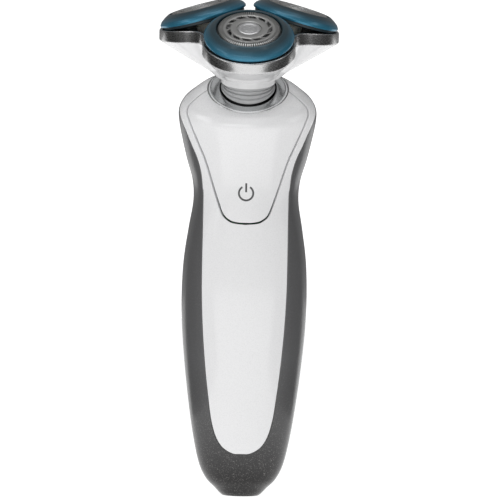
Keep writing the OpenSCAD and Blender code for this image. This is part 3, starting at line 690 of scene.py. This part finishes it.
def bowl_loop(f, inset):
    """A loop of the bowl from its foot at 0 to its lip at 1, inset into its wall."""
    foot_r, foot_z = 11.5, 2.9

    def span(a):
        r1, z1 = trefoil(a) - 0.3, 11.6 + 3.7 * wave(a)
        slope = math.atan2(z1 - foot_z, r1 - foot_r)
        bulge = 0.35 * math.sin(math.pi * f) - inset
        return (foot_r + (r1 - foot_r) * f + bulge * math.sin(slope),
                foot_z + (z1 - foot_z) * f - bulge * math.cos(slope))
    return head_loop(lambda a: span(a)[0], lambda a: span(a)[1])


white_gloss = Finish("white_gloss", Roughness=0.14, Coat_Weight=0.3, Coat_Roughness=0.04)
white_gloss.feed(white_gloss.shader, {
    "Base Color": white_gloss.mix(white_gloss.noise(0.01, 3), (0.73, 0.73, 0.735),
                                  (0.79, 0.79, 0.795)),
    "Roughness": 0.12 + 0.06 * white_gloss.noise(0.004, 2)})
white_gloss.bump(white_gloss.noise(0.0008, 2), 0.000004)
bowl_steps = [0, 0.03, 0.1, 0.2, 0.35, 0.5, 0.65, 0.8, 0.9, 0.96, 1]
points, faces = loft([bowl_loop(f, 0) for f in bowl_steps]
                     + [bowl_loop(f, 1.2) for f in bowl_steps[::-1]])
piece("head_bowl_gloss", points, faces, white_gloss, "head", "head_white", ["head_bowl"],
      head_place)


def rounded(corners, steps=5):
    """A closed outline with round corners, from (x, z, radius) corners."""
    out = []
    for i, (x, z, r) in enumerate(corners):
        p = Vector((x, z))
        a = Vector(corners[i - 1][:2]) - p
        b = Vector(corners[(i + 1) % len(corners)][:2]) - p
        if r == 0:
            out.append((x, z))
            continue
        cut = min(r / math.tan(a.angle(b) / 2), 0.48 * a.length, 0.48 * b.length)
        start, end = p + a.normalized() * cut, p + b.normalized() * cut
        for k in range(steps + 1):
            f = k / steps
            q = (1 - f) ** 2 * start + 2 * f * (1 - f) * p + f ** 2 * end
            out.append((q.x, q.y))
    return out


def lathe(outline, steps=192):
    """Points and faces of an (r, z) outline turned round Z, closed unless it ends on Z."""
    loops = [[(r * math.cos(2 * math.pi * j / steps), r * math.sin(2 * math.pi * j / steps), z)
              for j in range(steps)] for r, z in outline]
    return loft(loops, outline[0][0] != 0 or outline[-1][0] != 0)


points, faces = lathe(rounded([
    (9.15, 0, 0.25), (9.15, 3.0, 0.1), (10.5, 3.0, 0.1), (10.5, 3.8, 0.1), (8.6, 3.8, 0.1),
    (8.6, 0, 0.1)]))
piece("head_collar_gloss", points, faces, white_gloss, "head", "head_white",
      ["head_collar"], head_place)

# ---- Rim band ----
# The metallised band round the top of the bowl. It follows the three lobes, rises into
# each valley, and is brushed along its length.
metallised = Finish("metallised", Metallic=1.0)
reach = metallised.noise(0.00035, 4, (0.35, 0.35, 2.2), 0.6)
metallised.feed(metallised.shader, {
    "Base Color": metallised.mix(reach, (0.70, 0.70, 0.70), (0.52, 0.52, 0.52)),
    "Roughness": 0.2 + 0.16 * reach})
metallised.bump(reach, 0.000012)


def rim_loop(grow, low, rise):
    return head_loop(lambda a: trefoil(a) + grow, lambda a: low + rise * wave(a))


points, faces = loft([rim_loop(*row) for row in (
    (-1.2, 11.65, 3.7), (-0.35, 11.65, 3.7), (-0.15, 11.72, 3.72), (-0.05, 11.85, 3.75),
    (0, 12.1, 3.8), (0, 13.4, 3.95), (0, 14.75, 4.1), (-0.04, 15.0, 4.15),
    (-0.14, 15.18, 4.18), (-0.3, 15.28, 4.2), (-0.5, 15.3, 4.2), (-1.0, 15.3, 4.2),
    (-1.2, 15.15, 4.2))])
piece("rim_band_metal", points, faces, metallised, "head", "rim_silver", ["rim_band"],
      head_place)

# ---- Gears and drive pins ----
# Natural nylon gears under the unit holder: a sun on the neck's spindle, and a planet for
# each unit with a hardened pin that drives its cutter.
gear_nylon = Finish("gear_nylon", Roughness=0.4, Subsurface_Weight=0.1)
gear_nylon.feed(gear_nylon.shader, {
    "Base Color": gear_nylon.mix(gear_nylon.noise(0.0015, 3), (0.72, 0.69, 0.60),
                                 (0.82, 0.80, 0.73))})
gear_nylon.bump(gear_nylon.noise(0.0003, 2), 0.00001)
finish_node(gear_nylon, "sun_gear")
for k in (1, 2, 3):
    finish_node(gear_nylon, f"planet_gear_{k}", f"cutter_hub_{k}")
    finish_node(ground_steel, f"drive_pin_{k}", f"petal_spring_{k}")

# ---- Unit holder and petal frames ----
# Dark teal mouldings between the bowl and the rings: the holder plate with its hinge lugs,
# and a frame under each ring that clips round the guard's skirt.
deep_teal = Finish("deep_teal", Roughness=0.4)
deep_teal.feed(deep_teal.shader, {
    "Base Color": deep_teal.mix(deep_teal.noise(0.002, 3), (0.010, 0.022, 0.028),
                                (0.022, 0.042, 0.052))})
deep_teal.bump(deep_teal.noise(0.0003, 2), 0.000012)
finish_node(deep_teal, "head_holder")

# ---- Shaving units ----
# Three alike units stand 120 degrees apart, each tilted outwards. A unit is a lacquered
# comfort ring, a stamped steel guard, a pressed cap, and a toothed cutter on a nylon hub.
unit_r = 18
unit_z = 20.3
unit_tilt = 18


def unit_place(k):
    turn = Matrix.Rotation(math.radians(120 * (k - 1)), 4, "Z")
    shift = Matrix.Translation((0, -unit_r * MM, unit_z * MM))
    return head_place @ turn @ shift @ Matrix.Rotation(math.radians(unit_tilt), 4, "X")


teal_lacquer = Finish("teal_lacquer", own=True, Roughness=0.3, Coat_Weight=0.45,
                      Coat_Roughness=0.12)
# Painted reflection: low on the ring the lacquer is painted a brighter teal-blue that stands in
# for the bright floor reflected in it. It fades by height to the lacquer's own dark slate on
# top.
painted_reflection_fade = teal_lacquer.ramp(teal_lacquer.axis("Z") * 1000.0 / 4.1, (0.2, 0), (0.75, 1))
fleck = teal_lacquer.cells(0.00018, "Color")
painted_reflection_blue = teal_lacquer.mix(fleck, (0.02, 0.17, 0.28), (0.05, 0.25, 0.38))
top_slate = teal_lacquer.mix(fleck, (0.030, 0.062, 0.080), (0.050, 0.092, 0.115))
teal_lacquer.feed(teal_lacquer.shader, {
    "Base Color": teal_lacquer.mix(painted_reflection_fade, painted_reflection_blue, top_slate),
    "Metallic": 0.45 + 0.25 * fleck,
    "Roughness": 0.3 + 0.12 * teal_lacquer.noise(0.0008, 2)})
teal_lacquer.bump(teal_lacquer.noise(0.0004, 2), 0.000008)

bore_r = 10.95
petal_outline = rounded([
    (13.9, 0, 0), (14.86, 0, 0.15), (15.0, 0.75, 0.5), (14.35, 1.75, 0.9), (12.9, 2.85, 2.5),
    (11.5, 3.62, 0.9), (11.0, 3.72, 0.25), (bore_r, 3.3, 0.1), (bore_r, 2.6, 0), (11.6, 2.3, 0),
    (13.7, 0.6, 0)], 8)

guard_steel = Finish("guard_steel", Metallic=1.0)
swirl = guard_steel.noise(0.00025, 3, (1, 1, 0.4))
guard_steel.feed(guard_steel.shader, {
    "Base Color": guard_steel.mix(swirl, (0.70, 0.70, 0.69), (0.58, 0.58, 0.57)),
    "Roughness": 0.24 + 0.14 * swirl})
guard_steel.bump(swirl, 0.000006)

guard_r = 10.6
slots = 86
rib_share = 0.55


def radial_ribs(count, share, outline, slant=0.0):
    """Closed ribs spaced round Z, each an (r, z) outline with a width in angle."""
    out, quads = [], []
    n = len(outline)
    for i in range(count):
        base = len(out)
        mid = 2 * math.pi * i / count
        for side in (-0.5, 0.5):
            for r, z in outline:
                a = mid + side * share * 2 * math.pi / count + slant * (r - outline[0][0])
                out.append((r * math.cos(a), r * math.sin(a), z))
        quads += [(base + j, base + (j + 1) % n, base + n + (j + 1) % n, base + n + j)
                  for j in range(n)]
        quads += [tuple(base + j for j in range(n - 1, -1, -1)),
                  tuple(base + n + j for j in range(n))]
    return out, quads


def joined(*parts):
    """Several sets of points and faces as one."""
    out, quads = [], []
    for some_points, some_faces in parts:
        quads += [tuple(i + len(out) for i in f) for f in some_faces]
        out += some_points
    return out, quads


guard_parts = joined(
    # Skirt below the slots
    lathe(rounded([(10.25, -0.95, 0.05), (guard_r, -0.95, 0.1), (guard_r, 2.45, 0.05),
                   (10.25, 2.45, 0.05)], 3), 256),
    # Smooth ring inside the slots, and the inner disc with its seat for the cap
    lathe(rounded([(8.62, 3.75, 0.12), (8.62, 3.3, 0.05), (7.75, 3.3, 0.05),
                   (7.75, 3.75, 0.12)], 3), 256),
    lathe(rounded([(6.2, 3.75, 0.12), (6.2, 3.3, 0.05), (4.3, 3.3, 0.05), (4.25, 3.0, 0.05),
                   (1.2, 3.0, 0.05), (1.2, 3.3, 0.05), (4.0, 3.3, 0.03), (4.1, 3.75, 0.12)], 3),
          256),
    radial_ribs(slots, rib_share, rounded([
        (8.5, 3.74, 0), (9.8, 3.74, 0.25), (10.22, 3.55, 0.2), (guard_r, 2.95, 0.2),
        (guard_r, 2.4, 0), (10.25, 2.4, 0), (10.25, 2.85, 0.15), (9.9, 3.3, 0.2),
        (8.5, 3.38, 0)], 3)),
    # Slanted lifters across the groove, and the fine comb on its inner edge
    radial_ribs(12, 0.26, [(6.15, 3.1), (6.15, 3.6), (7.8, 3.7), (7.8, 3.1)], 0.14),
    radial_ribs(60, 0.5, [(6.1, 3.3), (6.1, 3.72), (6.5, 3.66), (6.5, 3.3)]),
    radial_ribs(60, 0.4, [(7.5, 3.3), (7.5, 3.66), (7.85, 3.72), (7.85, 3.3)]))

printed_cap = Finish("printed_cap", own=True, Metallic=0.85)
cap_x, cap_y = printed_cap.axis("X"), printed_cap.axis("Y")
cap_radius = (cap_x * cap_x + cap_y * cap_y).math("SQRT")
circles = printed_cap.ramp((cap_radius * 9000.0).math("SINE"), (0.4, 0), (0.6, 1))
printed_cap.feed(printed_cap.shader, {
    "Base Color": printed_cap.mix(circles, (0.78, 0.78, 0.79), (0.60, 0.61, 0.62)),
    "Roughness": 0.25 + 0.15 * circles})
printed_cap.bump(circles, 0.00001)
cap_parts = joined(
    lathe(rounded([(0, 3.62, 0), (2.2, 3.66, 0.1), (2.35, 3.58, 0.05), (2.5, 3.66, 0.05),
                   (3.3, 3.72, 0.1), (3.72, 3.62, 0.12), (3.72, 3.3, 0.05), (0.8, 3.3, 0.02),
                   (0.8, 1.25, 0.1), (0, 1.2, 0)], 4), 128),
    radial_ribs(6, 0.32, rounded([(0.75, 3.55, 0), (0.75, 3.7, 0.05), (1.9, 3.7, 0.05),
                                  (1.9, 3.55, 0)], 3)),
    radial_ribs(18, 0.3, rounded([(2.75, 3.6, 0), (2.75, 3.745, 0.04), (3.15, 3.745, 0.04),
                                  (3.15, 3.6, 0)], 3)))
petal_parts = lathe(petal_outline, 256)

for k in (1, 2, 3):
    place, body = unit_place(k), f"unit_{k}"
    piece(f"comfort_ring_lacquer_{k}", *petal_parts, teal_lacquer, body, "petal_blue",
          [f"comfort_ring_{k}"], place)
    piece(f"guard_slotted_{k}", *guard_parts, guard_steel, body, "guard_steel",
          [f"shaving_guard_{k}"], place, crease=30)
    piece(f"guard_cap_printed_{k}", *cap_parts, printed_cap, body, "cap_steel",
          [f"guard_cap_{k}"], place, crease=30)
    finish_node(ground_steel, f"cutter_{k}")
    finish_node(deep_teal, f"petal_frame_{k}")

finish_node(pearl_lacquer, "panel_plunger")

# ---- Camera, floor and lights ----
# A long lens level with the middle of the handle, a pale seamless floor, broad soft boxes
# on both sides, above and in front, and dark cards that only reflections see.
camera = bpy.data.objects.new("camera", bpy.data.cameras.new("camera"))
bpy.context.scene.collection.objects.link(camera)
camera.data.lens = 201
camera.data.sensor_width = 36
camera.data.shift_x = 0.01
camera.data.clip_start = 0.05
camera.matrix_world = (Matrix.Translation((0, -0.95, 0.0833))
                       @ Matrix.Rotation(math.pi / 2, 4, "X")
                       @ Matrix.Rotation(math.radians(1.1), 4, "Z"))
bpy.context.scene.camera = camera
bpy.context.scene.view_settings.view_transform = "Standard"

pale_floor = Finish("pale_floor", Roughness=0.9)
pale_floor.feed(pale_floor.shader, {
    "Base Color": pale_floor.mix(pale_floor.noise(0.4, 2), (0.34, 0.34, 0.34),
                                 (0.36, 0.36, 0.36)),
    "Emission Color": (1, 1, 1, 1), "Emission Strength": 0.97})
for label, corners in (
        ("floor", [(-3, -3, 0), (3, -3, 0), (3, 2.4, 0), (-3, 2.4, 0)]),
        ("backdrop", [(-3, 2.4, 0), (3, 2.4, 0), (3, 2.4, 3), (-3, 2.4, 3)])):
    sheet = bpy.data.meshes.new(label)
    sheet.from_pydata(corners, [], [(0, 1, 2, 3)])
    sheet.materials.append(pale_floor.material)
    board = bpy.data.objects.new(label, sheet)
    board.visible_glossy = board.visible_diffuse = label == "floor"
    bpy.context.scene.collection.objects.link(board)

dark_card = Finish("dark_card", Roughness=1.0)
dark_card.feed(dark_card.shader, {"Base Color": (0.01, 0.01, 0.01, 1)})
for label, side in (("left_card", -1), ("right_card", 1)):
    sheet = bpy.data.meshes.new(label)
    sheet.from_pydata([(side * 0.14, -0.2, 0.002), (side * 0.12, 0.1, 0.002),
                       (side * 0.3, 0.1, 0.3), (side * 0.42, -0.28, 0.3)], [], [(0, 1, 2, 3)])
    sheet.materials.append(dark_card.material)
    board = bpy.data.objects.new(label, sheet)
    board.visible_camera = board.visible_diffuse = board.visible_shadow = False
    bpy.context.scene.collection.objects.link(board)

world = bpy.data.worlds.new("studio")
world.use_nodes = True
world.node_tree.nodes["Background"].inputs["Color"].default_value = (1, 1, 1, 1)
world.node_tree.nodes["Background"].inputs["Strength"].default_value = 0.2
bpy.context.scene.world = world

aim = Vector((0, 0, 0.09))
for label, where, width, height, watts in (
        ("left_box", (-0.75, -0.45, 0.25), 0.35, 0.9, 1.9),
        ("right_box", (0.75, -0.35, 0.22), 0.3, 0.9, 1.1),
        ("top_box", (0.0, -0.25, 0.95), 0.7, 0.5, 1.6),
        ("front_box", (-0.25, -1.2, 0.55), 0.8, 0.5, 2.4)):
    lamp = bpy.data.lights.new(label, "AREA")
    lamp.shape = "RECTANGLE"
    lamp.size, lamp.size_y, lamp.energy = width, height, watts
    box = bpy.data.objects.new(label, lamp)
    bpy.context.scene.collection.objects.link(box)
    box.location = where
    box.rotation_euler = (aim - Vector(where)).to_track_quat("-Z", "Y").to_euler()
